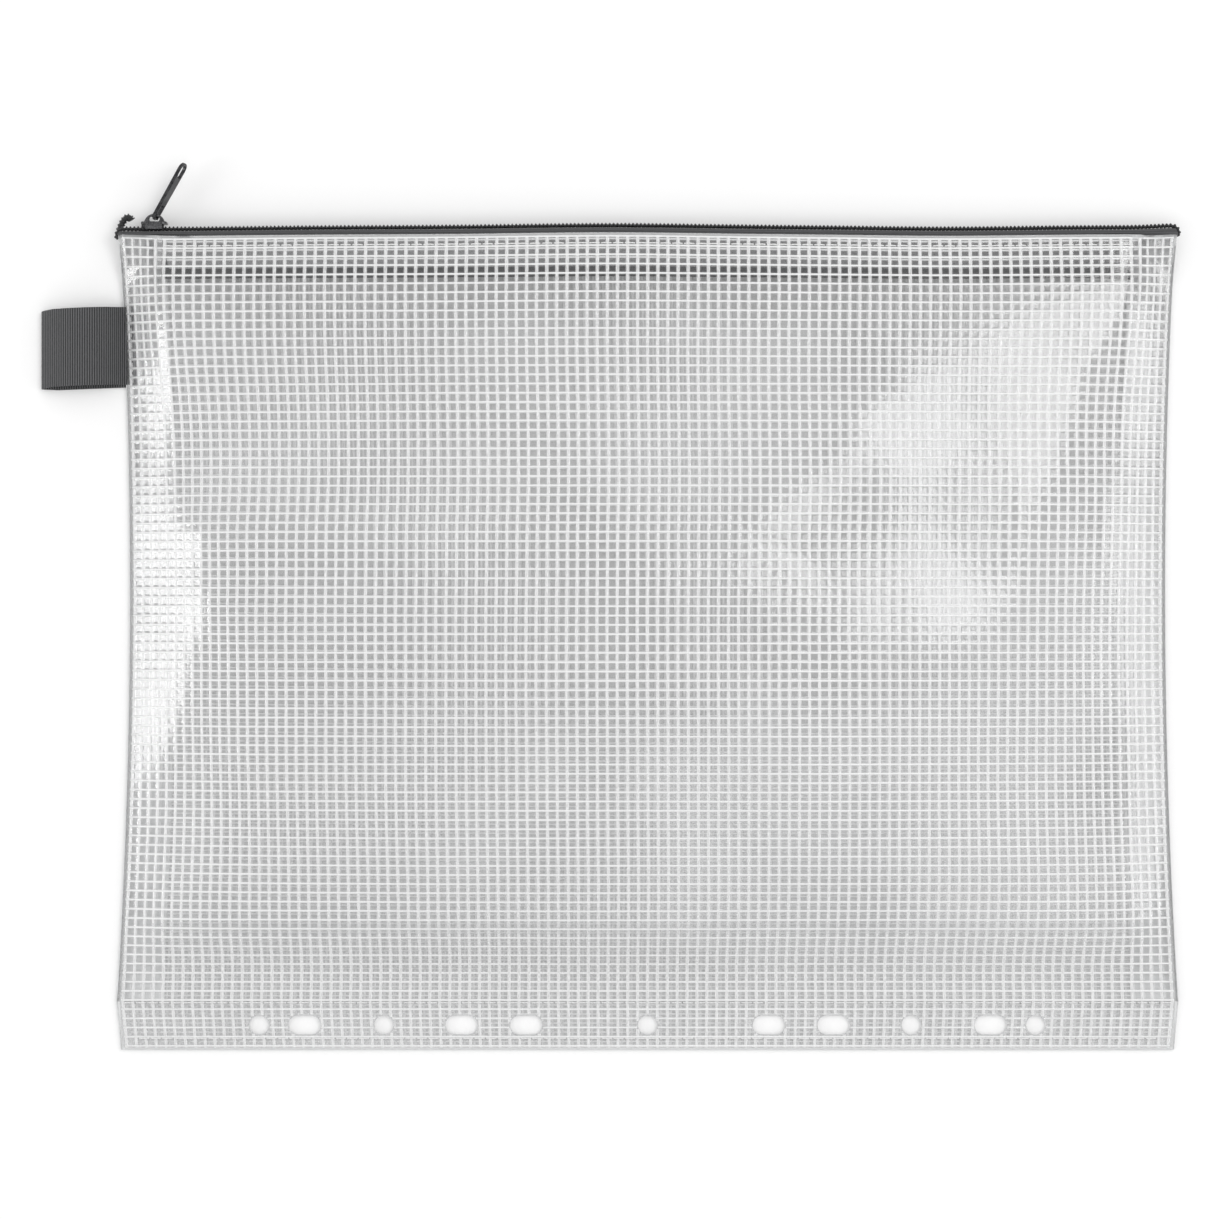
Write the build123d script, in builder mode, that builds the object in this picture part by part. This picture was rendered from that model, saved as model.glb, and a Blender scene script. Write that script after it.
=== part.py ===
import os
from math import atan, cos, radians, sin, tan

from build123d import *

# A zip wallet of mesh film, lying on its back. Sizes are in millimetres.
# X runs along the zip, Y from the filing strip to the zip, Z up from the surface it lies on.

# Film and outline
film = 0.4  # one ply of mesh film
lay_gap = 0.1  # between plies that lie on each other
fold_y = 125.6  # folded top edge of both panels, as far from the middle as the cut bottom edge
strip_height = 14.8  # bottom edge to the upper seam of the strip
half_top = 163.0  # half width at the mouth
seam_spread = 1.0  # how much wider each side is at the upper seam of the strip
bottom_draw = 1.4  # how much narrower each side is at the bottom edge than at that seam
waist_bow = 3.5  # how far each side is drawn in by the fullness
allowance = 12.5  # width of the turned-in side allowances at the mouth
hem_depth = 10.2  # ply folded in at the mouth
crown = 30.0  # height of the front panel over the surface

# Filing holes, measured from the middle of the strip
hole_d = 6.0
slot_length = 10.0
hole_rise = 7.5  # bottom edge to the hole line
round_x = (0.0, 81.5, 120.0)
slot_x = (37.5, 57.5, 106.0)

# Zip
tape = 0.6  # thickness of the tape
tape_depth = 12.7  # fold of the film to the inner edge of the tape
tape_rise = 1.7  # outer face of the tape over the fold
tape_flat = 2.6  # flat of each tape beside the middle
tape_split = 0.5  # half of the gap between the tapes
bend = 0.9  # inner radius where a tape turns into the pouch
flare = radians(10)  # slope of the front tape and film at the mouth
leg_inset = 0.5  # end of the tape inside the pouch to the side allowances
tape_inset = 0.5  # end of the tape at the coil to the corner of the film
coil = 1.5  # height of the coil over the tape
coil_over = 1.2  # reach of the coil past the corner of the film
coil_pitch = 1.2
tooth = 0.5  # width of one tooth
tooth_tip = -0.3  # reach of a tooth past the middle of the zip
tooth_root = 0.65
coil_back = 1.75  # outer edge of a coil from the middle
coil_drop = 5.0  # length of the turned-down coil ends
coil_rejoin = 0.3  # share of the parting left where the coils are sewn together again
coil_tail = 1.2  # thickness of the loose coil end
tail_inset = 2.6  # corner of the film to the middle of its curl
tail_r = 0.9

# Slider, drawn at the closed end of the zip
slider_inset = 11.0  # corner of the film to the middle of the slider
slider_length = 8.0
slider_corner = 1.4
inner_corner = 1.2
slider_half = 3.4
flange = 0.65
slider_plate = 0.75
slider_round = 0.25  # rounded edge of the outer plate
inner_half = 2.4  # half width of the plate inside the pouch
slide_gap = 0.2  # slider to coil
flange_gap = 0.15  # slider to tape
post_half = 0.4
post_length = 2.0
parting = 0.8  # how far each coil stands off where the post parts them
bridge_half = 0.6  # half width of the bridge over the plate
bridge_bar = 0.75
bridge_span = 6.4
bridge_window = 3.2  # length of the opening under the bridge

# Pull
pin_r = 0.5
pin_rise = 1.15  # pin over the outer plate
pin_gap = 0.15  # pin to the bridge
pull_angle = radians(61)
pull_twist = radians(16)  # the pull stands turned in its slack
pull_length = 19.4
pull_thick = 1.1
pull_round = 0.25  # rounded edges of the pull
pull_half = 2.2  # half width at the grip
neck_half = 1.85  # half width at the pin
neck_end = 0.1
eye_length = 4.6  # pin to the far end of the eye
eye_half = 1.1
grip_length = 4.4
grip_half = 1.5
grip_rim = 0.8

# Ribbon loop on the left edge
ribbon = 0.35  # one ply
ribbon_width = 24.0
ribbon_drop = 33.8  # fold of the film to the middle of the ribbon
ribbon_reach = 26.0  # film edge to the crease
ribbon_rise = 7.4  # top of the open loop
ribbon_in = 10.0  # sewn-in length
ribbon_gap = 0.3  # loop to tail along the ribbon, and beside it in the seam
ribbon_clear = 0.1  # turning loop to the edge of the film
ribbon_lift = 0.03  # ribbon over the back panel

# Stitching
thread = 0.4
thread_sink = 0.05  # over the surface it lies on
thread_bar = 0.25
stitch = 3.6
mouth_stitch = 3.2  # row below the fold
edge_stitch = 3.4  # row above the bottom edge
side_stitch = 1.8  # row inside the side edge

# Heights and places that follow from these
bottom_y = -fold_y
half_seam = half_top + seam_spread
half_bottom = half_seam - bottom_draw
allowance_x = half_top - allowance
leg_half = allowance_x - leg_inset
tape_half = half_top - tape_inset
coil_half = half_top + coil_over
slider_x = slider_inset - half_top
tail_x = tail_inset - half_top
ribbon_y = fold_y - ribbon_drop
seat = 2 * film  # where the two panels meet at the sides
seam_y = bottom_y + strip_height
hole_y = bottom_y + hole_rise
tape_out = fold_y + tape_rise
tape_in = tape_out - tape
tape_end = fold_y - tape_depth
hem_end = fold_y - hem_depth
bend_out = bend + tape
bend_y = tape_in - bend
zip_z = 2 * film + lay_gap + tape_flat + bend_out  # middle of the zip
bend_foot = bend_y + bend_out * sin(flare) - fold_y  # foot of the front bend over the fold
front_leg_z = zip_z + tape_flat + bend_out * cos(flare) + bend_foot * tan(flare)
hem_z = front_leg_z + lay_gap  # under side of the front hem at the fold
mouth_top = hem_z + 2 * film
coil_top = tape_out + coil
plate_in = coil_top + slide_gap
plate_out = plate_in + slider_plate
inner_top = tape_in - flange_gap
pin_y = plate_out + pin_rise
window_height = pin_rise + pin_r + pin_gap
post_x = slider_x - slider_length / 2 + post_length
hinge_z = film + ribbon_lift + ribbon

os.makedirs("parts", exist_ok=True)


# Half width of the pouch between the strip and the mouth
def half_width(y):
    along = (y - seam_y) / (fold_y - seam_y)
    return half_seam + (half_top - half_seam) * along - 4 * waist_bow * along * (1 - along)


# Distance of each coil from its meshed place, along the zip
def coil_shift(x):
    closed_x = slider_x + tape_split
    opened_x = post_x
    sewn_x = slider_x - slider_length / 2 - post_length
    if x > closed_x:
        return 0.0
    if x > opened_x:
        return parting * (closed_x - x) / (closed_x - opened_x)
    if x > sewn_x:
        return parting
    return parting * (1 - (1 - coil_rejoin) * (sewn_x - x) / (sewn_x + coil_half))


# Closed outline of one panel, with the drawn-in sides
def panel_outline():
    waist_y = (seam_y + fold_y) / 2
    waist = half_width(waist_y)
    with BuildLine() as edge_lines:
        Line((-half_bottom, bottom_y), (half_bottom, bottom_y))
        Line((half_bottom, bottom_y), (half_seam, seam_y))
        ThreePointArc((half_seam, seam_y), (waist, waist_y), (half_top, fold_y))
        Line((half_top, fold_y), (-half_top, fold_y))
        ThreePointArc((-half_top, fold_y), (-waist, waist_y), (-half_seam, seam_y))
        Line((-half_seam, seam_y), (-half_bottom, bottom_y))
    make_face(edge_lines.edges())


# Round holes and slots along the filing strip
def punch_filing_holes():
    rounds = sorted({side * x for x in round_x for side in (-1, 1)})
    with Locations(*[(x, hole_y) for x in rounds]):
        Circle(hole_d / 2, mode=Mode.SUBTRACT)
    with Locations(*[(side * x, hole_y) for x in slot_x for side in (-1, 1)]):
        SlotOverall(slot_length, hole_d, mode=Mode.SUBTRACT)


# Section of one tape: flat beside the coil, then bent into the pouch
def tape_section(side, slope):
    foot_y = bend_y + bend_out * sin(slope)
    leg = (foot_y - tape_end) / cos(slope)
    half_turn = (radians(90) - slope) / 2

    def on_bend(r, angle):
        return (bend_y + r * cos(angle), zip_z + side * (tape_flat + r * sin(angle)))

    def leg_end(r):
        start = on_bend(r, 2 * half_turn)
        return (start[0] - leg * cos(slope), start[1] + side * leg * sin(slope))

    with BuildLine() as edge_lines:
        Line((tape_out, zip_z + side * tape_split), (tape_out, zip_z + side * tape_flat))
        ThreePointArc(on_bend(bend_out, 0), on_bend(bend_out, half_turn), on_bend(bend_out, 2 * half_turn))
        Line(on_bend(bend_out, 2 * half_turn), leg_end(bend_out))
        Line(leg_end(bend_out), leg_end(bend))
        Line(leg_end(bend), on_bend(bend, 2 * half_turn))
        ThreePointArc(on_bend(bend, 2 * half_turn), on_bend(bend, half_turn), on_bend(bend, 0))
        Line((tape_in, zip_z + side * tape_flat), (tape_in, zip_z + side * tape_split))
        Line((tape_in, zip_z + side * tape_split), (tape_out, zip_z + side * tape_split))
    make_face(edge_lines.edges())


# Comb of one coil; the back one stands half a pitch along so that the teeth mesh
def coil_section(side, first):
    count = int((coil_half + tape_half) / coil_pitch) - 1

    def across(x, reach):
        return zip_z + side * (reach + coil_shift(x))

    points = [(-coil_half, across(-coil_half, tooth_root))]
    for i in range(count):
        x = -tape_half + first + i * coil_pitch
        points.append((x, across(x, tooth_root)))
        points.append((x, across(x, tooth_tip)))
        points.append((x + tooth, across(x, tooth_tip)))
        points.append((x + tooth, across(x, tooth_root)))
    points.append((coil_half, across(coil_half, tooth_root)))
    points.append((coil_half, across(coil_half, coil_back)))
    for x in (slider_x + tape_split, post_x, slider_x - slider_length / 2 - post_length, -coil_half):
        points.append((x, across(x, coil_back)))
    with BuildLine() as edge_lines:
        Polyline(*points, close=True)
    make_face(edge_lines.edges())


# Both turned-down ends of a coil, outside the corners of the film
def coil_ends(side):
    length = coil_half - half_top - lay_gap
    for end in (-1, 1):
        width = coil_back - tooth_root
        middle = (coil_back + tooth_root) / 2 + coil_shift(end * coil_half)
        with Locations((end * (coil_half - length / 2), coil_top - coil_drop / 2, zip_z + side * middle)):
            Box(length, coil_drop, width)


# One row of stitches: the thread along the top and its legs down through the plies
def stitch_row(y, low, high, half_length):
    count = int(2 * half_length / stitch)
    start = -count * stitch / 2
    bar_low = high - thread_bar
    points = [(start - thread, high), (start - thread, low)]
    for i in range(count):
        x = start + i * stitch
        points.append((x, low))
        points.append((x, bar_low))
        points.append((x + stitch - thread, bar_low))
        points.append((x + stitch - thread, low))
    points.append((-start, low))
    points.append((-start, high))
    with BuildSketch(Plane.XZ.offset(-y)) as row:
        with BuildLine():
            Polyline(*points, close=True)
        make_face()
    extrude(row.sketch, amount=thread / 2, both=True)


# Thread of one side seam, following the drawn-in edge
def side_thread(side):
    low_y = seam_y + stitch
    high_y = fold_y - stitch
    middle_y = (low_y + high_y) / 2
    with BuildSketch(Plane.XY.offset(film - thread_sink)) as seam:
        with BuildLine():
            for inset in (side_stitch, side_stitch + thread):
                ThreePointArc(
                    (side * (half_width(low_y) - inset), low_y),
                    (side * (half_width(middle_y) - inset), middle_y),
                    (side * (half_width(high_y) - inset), high_y),
                )
            for y in (low_y, high_y):
                outer = side * (half_width(y) - side_stitch)
                Line((outer, y), (outer - side * thread, y))
        make_face()
    extrude(seam.sketch, amount=2 * film + 2 * thread_sink)


# Sections of the full front panel: share of the way from strip to mouth, width of the shoulder,
# then the heights of the shoulder and the middle as shares of the crown
full_sections = (
    (0.047, 18, 0.137, 0.185),
    (0.131, 38, 0.400, 0.524),
    (0.300, 55, 0.675, 0.908),
    (0.469, 58, 0.743, 1.000),
    (0.637, 52, 0.658, 0.880),
    (0.806, 34, 0.520, 0.640),
)
flat_crown = 0.1  # crown of the sections that lie against the strip and the zip
strip_shoulder = 6
tape_shoulder = 14
mouth_shoulder = 10
leg_rise = tape_depth * tan(flare)
front_sections = [(seam_y, strip_shoulder, seat + film - flat_crown / 2, seat + film)]
for share, shoulder, shoulder_rise, crown_rise in full_sections:
    full_y = seam_y + share * (fold_y - seam_y)
    full_height = crown - seat
    shoulder_z = seat + shoulder_rise * full_height
    front_sections.append((full_y, shoulder, shoulder_z, seat + crown_rise * full_height))
front_sections.append((tape_end, tape_shoulder, mouth_top + leg_rise - flat_crown, mouth_top + leg_rise))
front_sections.append((fold_y, mouth_shoulder, mouth_top - flat_crown, mouth_top))
notch_width = ribbon_width + 2 * ribbon_gap
notch_length = half_seam - allowance_x + film

with BuildPart() as front_panel:
    for y, shoulder, shoulder_z, crown_z in front_sections:
        edge = half_width(y)
        inner = edge - shoulder
        lean = 2 * atan((crown_z - shoulder_z) / inner)
        with BuildSketch(Plane.XZ.offset(-y)):
            with BuildLine():
                ThreePointArc((-inner, shoulder_z), (0, crown_z), (inner, shoulder_z))
                TangentArc((inner, shoulder_z), (edge, seat), tangent=(cos(lean), -sin(lean)))
                Line((edge, seat), (-edge, seat))
                TangentArc((-inner, shoulder_z), (-edge, seat), tangent=(-cos(lean), -sin(lean)))
            make_face()
    loft()
    full_shape = front_panel.part
    add(Pos(0, 0, -film) * full_shape, mode=Mode.SUBTRACT)
    # turned-in allowances and the front ply of the filing strip
    with BuildSketch(Plane.XY.offset(seat)):
        panel_outline()
        with Locations((0, (seam_y + fold_y) / 2)):
            Rectangle(2 * allowance_x, fold_y - seam_y, mode=Mode.SUBTRACT)
        punch_filing_holes()
    extrude(amount=film)
    # hem folded in behind the mouth
    with BuildSketch(Plane.YZ):
        hem_rise = hem_depth * tan(flare)
        with BuildLine():
            Polyline(
                (fold_y, hem_z),
                (fold_y, hem_z + 1.5 * film),
                (fold_y - film, hem_z + 1.5 * film),
                (fold_y - film, hem_z + film),
                (hem_end, hem_z + film + hem_rise),
                (hem_end, hem_z + hem_rise),
                close=True,
            )
        make_face()
    extrude(amount=leg_half, both=True)
    # room for the ribbon in the left seam
    with Locations((-allowance_x - notch_length / 2, ribbon_y, seat + film / 2)):
        Box(notch_length, notch_width, film, mode=Mode.SUBTRACT)
front_panel.part.label = "front_panel"

with BuildPart() as back_panel:
    with BuildSketch():
        panel_outline()
        punch_filing_holes()
    extrude(amount=film)
    with BuildSketch(Plane.XY.offset(film)):
        panel_outline()
        with Locations((0, (bottom_y + fold_y) / 2)):
            Rectangle(2 * allowance_x, fold_y - bottom_y, mode=Mode.SUBTRACT)
        with Locations((0, fold_y - hem_depth / 2)):
            Rectangle(2 * leg_half, hem_depth)
        with Locations((-allowance_x - notch_length / 2, ribbon_y)):
            Rectangle(notch_length, notch_width, mode=Mode.SUBTRACT)
    extrude(amount=film)
back_panel.part.label = "back_panel"

with BuildPart() as front_zip_tape:
    with BuildSketch(Plane.YZ):
        tape_section(1, flare)
    extrude(amount=tape_half, both=True)
    for end in (-1, 1):
        with Locations((end * (leg_half + half_seam / 2), (tape_end + bend_y) / 2, crown / 2)):
            Box(half_seam, bend_y - tape_end + 2 * bend, crown, mode=Mode.SUBTRACT)
front_zip_tape.part.label = "front_zip_tape"

with BuildPart() as back_zip_tape:
    with BuildSketch(Plane.YZ):
        tape_section(-1, 0.0)
    extrude(amount=tape_half, both=True)
    for end in (-1, 1):
        with Locations((end * (leg_half + half_seam / 2), (tape_end + bend_y) / 2, crown / 2)):
            Box(half_seam, bend_y - tape_end + 2 * bend, crown, mode=Mode.SUBTRACT)
back_zip_tape.part.label = "back_zip_tape"

with BuildPart() as front_zip_coil:
    coil_ends(1)
    with BuildSketch(Plane.XZ.offset(-tape_out)):
        coil_section(1, 0.0)
    extrude(amount=-coil)
front_zip_coil.part.label = "front_zip_coil"

with BuildPart() as back_zip_coil:
    coil_ends(-1)
    # loose end of the coil, standing up and curled over
    tail_y = coil_top + 2 * tail_r
    tail_z = zip_z - (tooth_root + coil_back) / 2 - coil_shift(tail_x - tail_r)
    with BuildSketch(Plane.XY.offset(tail_z)):
        with BuildLine():
            CenterArc((tail_x, tail_y), tail_r + coil_tail / 2, 0, 180)
            CenterArc((tail_x, tail_y), tail_r - coil_tail / 2, 0, 180)
            for end in (-1, 1):
                inner_x = tail_x + end * (tail_r - coil_tail / 2)
                Line((inner_x, tail_y), (inner_x + end * coil_tail, tail_y))
        make_face()
        with Locations((tail_x - tail_r, (tail_y + tape_out + coil / 2) / 2)):
            Rectangle(coil_tail, tail_y - tape_out - coil / 2)
    extrude(amount=coil_tail / 2, both=True)
    with BuildSketch(Plane.XZ.offset(-tape_out)):
        coil_section(-1, coil_pitch / 2)
    extrude(amount=-coil)
back_zip_coil.part.label = "back_zip_coil"

with BuildPart() as slider_body:
    with BuildSketch(Plane.XZ.offset(-plate_in)):
        with Locations((slider_x, zip_z)):
            RectangleRounded(slider_length, 2 * slider_half, slider_corner)
    extrude(amount=-slider_plate)
    fillet(slider_body.faces().sort_by(Axis.Y)[-1].edges(), radius=slider_round)
    flange_low = tape_out + flange_gap
    for side in (-1, 1):
        flange_z = zip_z + side * (slider_half - flange / 2)
        with Locations((slider_x, (flange_low + plate_in) / 2, flange_z)):
            Box(slider_length - 2 * slider_corner, plate_in - flange_low, flange)
    with BuildSketch(Plane.XZ.offset(-inner_top)):
        with Locations((slider_x, zip_z)):
            RectangleRounded(slider_length, 2 * inner_half, inner_corner)
    extrude(amount=slider_plate)
    with Locations((post_x - post_length / 2, (inner_top + plate_in) / 2, zip_z)):
        Box(post_length, plate_in - inner_top, 2 * post_half)
    # bridge that holds the pull
    bridge_top = plate_out + window_height + bridge_bar
    with BuildSketch(Plane.XY.offset(zip_z)):
        with BuildLine():
            ThreePointArc(
                (slider_x - bridge_span / 2, plate_out - slider_plate / 2),
                (slider_x, bridge_top),
                (slider_x + bridge_span / 2, plate_out - slider_plate / 2),
            )
            Line(
                (slider_x + bridge_span / 2, plate_out - slider_plate / 2),
                (slider_x - bridge_span / 2, plate_out - slider_plate / 2),
            )
        make_face()
        with Locations((slider_x, plate_out + window_height / 2)):
            SlotOverall(bridge_window, window_height, mode=Mode.SUBTRACT)
    extrude(amount=bridge_half, both=True)
slider_body.part.label = "slider_body"

pull_plane = Plane(
    origin=(slider_x, pin_y, zip_z),
    x_dir=(cos(pull_angle), sin(pull_angle), 0),
    z_dir=(-sin(pull_angle) * cos(pull_twist), cos(pull_angle) * cos(pull_twist), -sin(pull_twist)),
)

with BuildPart() as pull_tab:
    with BuildSketch(pull_plane):
        tip_x = pull_length - pull_half
        with BuildLine():
            Line((-neck_end, neck_half), (-neck_end, -neck_half))
            Line((-neck_end, -neck_half), (tip_x, -pull_half))
            ThreePointArc((tip_x, -pull_half), (pull_length, 0), (tip_x, pull_half))
            Line((tip_x, pull_half), (-neck_end, neck_half))
        make_face()
        with Locations((eye_length / 2 - neck_end, 0)):
            Rectangle(eye_length + 2 * neck_end, 2 * eye_half, mode=Mode.SUBTRACT)
        with Locations((pull_length - grip_rim - grip_length / 2, 0)):
            SlotOverall(grip_length, 2 * grip_half, mode=Mode.SUBTRACT)
    extrude(amount=pull_thick / 2, both=True)
    flat_faces = pull_tab.faces().filter_by(Axis((0, 0, 0), pull_plane.z_dir))
    fillet(flat_faces.edges(), radius=pull_round)
    with BuildSketch(Plane.XY.offset(zip_z)):
        with Locations((slider_x, pin_y)):
            Circle(pin_r)
    extrude(amount=(eye_half + neck_half) / 2, both=True)
pull_tab.part.label = "pull_tab"

# the film edge stands out furthest at the upper side of the ribbon
root_x = -half_width(ribbon_y + ribbon_width / 2) - ribbon - ribbon_clear
root_low = hinge_z - ribbon
crease_x = -half_width(ribbon_y) - ribbon_reach

with BuildPart() as ribbon_tail:
    tail_length = ribbon_in - ribbon
    with Locations((root_x + ribbon + ribbon_gap + tail_length / 2, ribbon_y, hinge_z)):
        Box(tail_length, ribbon_width, 2 * ribbon)
ribbon_tail.part.label = "ribbon_tail"

with BuildPart() as ribbon_loop:
    with BuildSketch(Plane.XZ.offset(-ribbon_y)):
        top_x = (root_x + crease_x) / 2
        with BuildLine():
            Line((root_x, root_low), (crease_x + ribbon, root_low))
            ThreePointArc(
                (crease_x + ribbon, root_low), (crease_x, hinge_z), (crease_x + ribbon, hinge_z + ribbon)
            )
            ThreePointArc(
                (crease_x + ribbon, hinge_z + ribbon), (top_x, ribbon_rise), (root_x, hinge_z + ribbon)
            )
            ThreePointArc((root_x, hinge_z + ribbon), (root_x + ribbon, hinge_z), (root_x, root_low))
        make_face()
        with BuildLine(mode=Mode.PRIVATE) as inside:
            Line((root_x - 2 * ribbon, hinge_z), (crease_x + 2 * ribbon, hinge_z))
            ThreePointArc(
                (crease_x + 2 * ribbon, hinge_z), (top_x, ribbon_rise - ribbon), (root_x - 2 * ribbon, hinge_z)
            )
        make_face(inside.edges(), mode=Mode.SUBTRACT)
    extrude(amount=ribbon_width / 2, both=True)
ribbon_loop.part.label = "ribbon_loop"

mouth_y = fold_y - mouth_stitch
mouth_rise = mouth_stitch * tan(flare)

with BuildPart() as front_mouth_stitching:
    under_tape = front_leg_z + mouth_rise - tape / cos(flare) - thread_bar
    stitch_row(mouth_y, under_tape, mouth_top + mouth_rise + thread_bar / 2, leg_half)
front_mouth_stitching.part.label = "front_mouth_stitching"

with BuildPart() as back_mouth_stitching:
    stitch_row(mouth_y, thread_sink, seat + lay_gap + tape + thread_bar, leg_half)
back_mouth_stitching.part.label = "back_mouth_stitching"

with BuildPart() as strip_seam_stitching:
    stitch_row(seam_y - thread, thread_sink, seat + film + thread_bar / 2, half_seam - side_stitch)
strip_seam_stitching.part.label = "strip_seam_stitching"

with BuildPart() as strip_edge_stitching:
    stitch_row(bottom_y + edge_stitch, thread_sink, seat + film + thread_bar / 2, half_bottom - side_stitch)
strip_edge_stitching.part.label = "strip_edge_stitching"

with BuildPart() as left_seam_stitching:
    side_thread(-1)
left_seam_stitching.part.label = "left_seam_stitching"

with BuildPart() as right_seam_stitching:
    side_thread(1)
right_seam_stitching.part.label = "right_seam_stitching"

export_step(front_panel.part, "parts/front_panel.step")
export_step(back_panel.part, "parts/back_panel.step")
export_step(front_zip_tape.part, "parts/front_zip_tape.step")
export_step(back_zip_tape.part, "parts/back_zip_tape.step")
export_step(front_zip_coil.part, "parts/front_zip_coil.step")
export_step(back_zip_coil.part, "parts/back_zip_coil.step")
export_step(slider_body.part, "parts/slider_body.step")
export_step(pull_tab.part, "parts/pull_tab.step")
export_step(ribbon_tail.part, "parts/ribbon_tail.step")
export_step(ribbon_loop.part, "parts/ribbon_loop.step")
export_step(front_mouth_stitching.part, "parts/front_mouth_stitching.step")
export_step(back_mouth_stitching.part, "parts/back_mouth_stitching.step")
export_step(strip_seam_stitching.part, "parts/strip_seam_stitching.step")
export_step(strip_edge_stitching.part, "parts/strip_edge_stitching.step")
export_step(left_seam_stitching.part, "parts/left_seam_stitching.step")
export_step(right_seam_stitching.part, "parts/right_seam_stitching.step")
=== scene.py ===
import math

import bpy
import numpy as np
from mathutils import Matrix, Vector
from mathutils.bvhtree import BVHTree


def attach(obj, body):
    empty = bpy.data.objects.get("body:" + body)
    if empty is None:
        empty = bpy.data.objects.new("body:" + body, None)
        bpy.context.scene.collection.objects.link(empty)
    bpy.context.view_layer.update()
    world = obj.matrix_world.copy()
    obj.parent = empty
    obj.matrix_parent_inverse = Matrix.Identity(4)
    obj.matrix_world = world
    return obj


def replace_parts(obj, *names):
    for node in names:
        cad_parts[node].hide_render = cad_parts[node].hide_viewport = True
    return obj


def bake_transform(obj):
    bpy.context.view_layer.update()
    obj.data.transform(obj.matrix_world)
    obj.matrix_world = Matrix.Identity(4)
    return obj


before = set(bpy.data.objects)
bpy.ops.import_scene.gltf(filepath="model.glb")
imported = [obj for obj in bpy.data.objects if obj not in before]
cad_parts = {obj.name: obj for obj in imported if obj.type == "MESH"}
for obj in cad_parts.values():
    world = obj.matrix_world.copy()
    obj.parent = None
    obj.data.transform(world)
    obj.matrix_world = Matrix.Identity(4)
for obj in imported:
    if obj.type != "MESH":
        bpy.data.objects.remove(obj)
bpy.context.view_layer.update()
mm = 0.001
fullTurn = 2 * math.pi
upward = np.array((0, 0, 1.0))
print("frame loaded:", len(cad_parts), "nodes")


# shader maths: a wire is an output socket, a finish is a material
spell = {"base": "Base Color", "rough": "Roughness", "metal": "Metallic", "normal": "Normal", "coat": "Coat Weight",
         "coatRough": "Coat Roughness", "level": "Specular IOR Level", "sheen": "Sheen Weight"}


class Wire:
    def __init__(self, finish, socket):
        self.finish = finish
        self.socket = socket

    def calc(self, operation, *values):
        return self.finish.add("ShaderNodeMath", dict(enumerate(values)), {"operation": operation})

    def __add__(self, other):
        return self.calc("ADD", self, other)

    def __sub__(self, other):
        return self.calc("SUBTRACT", self, other)

    def __rsub__(self, other):
        return self.calc("SUBTRACT", other, self)

    def __mul__(self, other):
        return self.calc("MULTIPLY", self, other)

    __radd__, __rmul__ = __add__, __mul__

    def __pow__(self, other):
        return self.calc("POWER", self, other)

    def __abs__(self):
        return self.calc("ABSOLUTE", self)

    def larger(self, other):
        return self.calc("MAXIMUM", self, other)

    def beside(self, pitch):  # distance from the nearest of a row of lines
        return self.calc("PINGPONG", self, pitch / 2)

    def sine(self):
        return self.calc("SINE", self)

    def swell(self):  # a sine between 0 and 1
        return self.sine() * 0.5 + 0.5

    def bend(self, low, high):  # smooth step from 0 to 1
        return self.finish.add("ShaderNodeMapRange", {"Value": self, "From Min": low, "From Max": high},
                               {"interpolation_type": "SMOOTHSTEP"})


class Finish:
    def __init__(self, name, world=False):
        self.owner = (bpy.data.worlds if world else bpy.data.materials).new(name)
        self.owner.use_nodes = True
        self.tree = self.owner.node_tree
        self.tree.nodes.clear()
        self.output = self.tree.nodes.new("ShaderNodeOutputWorld" if world else "ShaderNodeOutputMaterial")

    def add(self, kind, values=None, settings=None, out=0):
        node = self.tree.nodes.new(kind)
        for key, value in (settings or {}).items():
            setattr(node, key, value)
        for key, value in (values or {}).items():
            if isinstance(value, Wire):
                self.tree.links.new(value.socket, node.inputs[key])
            else:
                node.inputs[key].default_value = value
        return Wire(self, node.outputs[out])

    def place(self, scale=(1, 1, 1), uv=None):  # object coordinates, or a piece's own map
        if uv:
            spot = self.add("ShaderNodeUVMap", None, {"uv_map": uv})
        else:
            spot = self.add("ShaderNodeTexCoord", out="Object")
        return self.add("ShaderNodeMapping", {"Vector": spot, "Scale": scale})

    def axes(self, spot):
        node = self.add("ShaderNodeSeparateXYZ", {0: spot}).socket.node
        return [Wire(self, output) for output in node.outputs]

    def noise(self, spot, scale, detail=3.0, rough=0.5):
        return self.add("ShaderNodeTexNoise", {"Vector": spot, "Scale": scale, "Detail": detail, "Roughness": rough})

    def tint(self, mask, dark, light):
        ramp = self.add("ShaderNodeValToRGB", {0: mask})
        for stop, colour in zip(ramp.socket.node.color_ramp.elements, (dark, light)):
            stop.color = (*colour, 1)
        return ramp

    def bump(self, height, distance, strength):
        return self.add("ShaderNodeBump", {"Height": height, "Distance": distance, "Strength": strength})

    def surface(self, **values):
        return self.add("ShaderNodeBsdfPrincipled", {spell[key]: value for key, value in values.items()})

    def clear(self, grey):
        return self.add("ShaderNodeBsdfTransparent", {"Color": (grey, grey, grey, 1)})

    def mix(self, share, first, second):
        return self.add("ShaderNodeMixShader", {0: share, 1: first, 2: second})

    def close(self, shader=None, **values):
        shader = shader or self.surface(**values)
        self.tree.links.new(shader.socket, self.output.inputs["Surface"])
        return self.owner


# small tools for points and faces
def portion(value, whole):  # share of the whole, from 0 to 1
    return np.clip(value / whole, 0, 1)


def unit(vectors):
    return vectors / np.linalg.norm(vectors, axis=-1, keepdims=True)


def heading(spots):
    return unit(np.gradient(spots, axis=0))


def runLengths(spots):  # distance run at each point of a path
    return np.concatenate(([0], np.cumsum(np.linalg.norm(np.diff(spots, axis=0), axis=1))))


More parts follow.
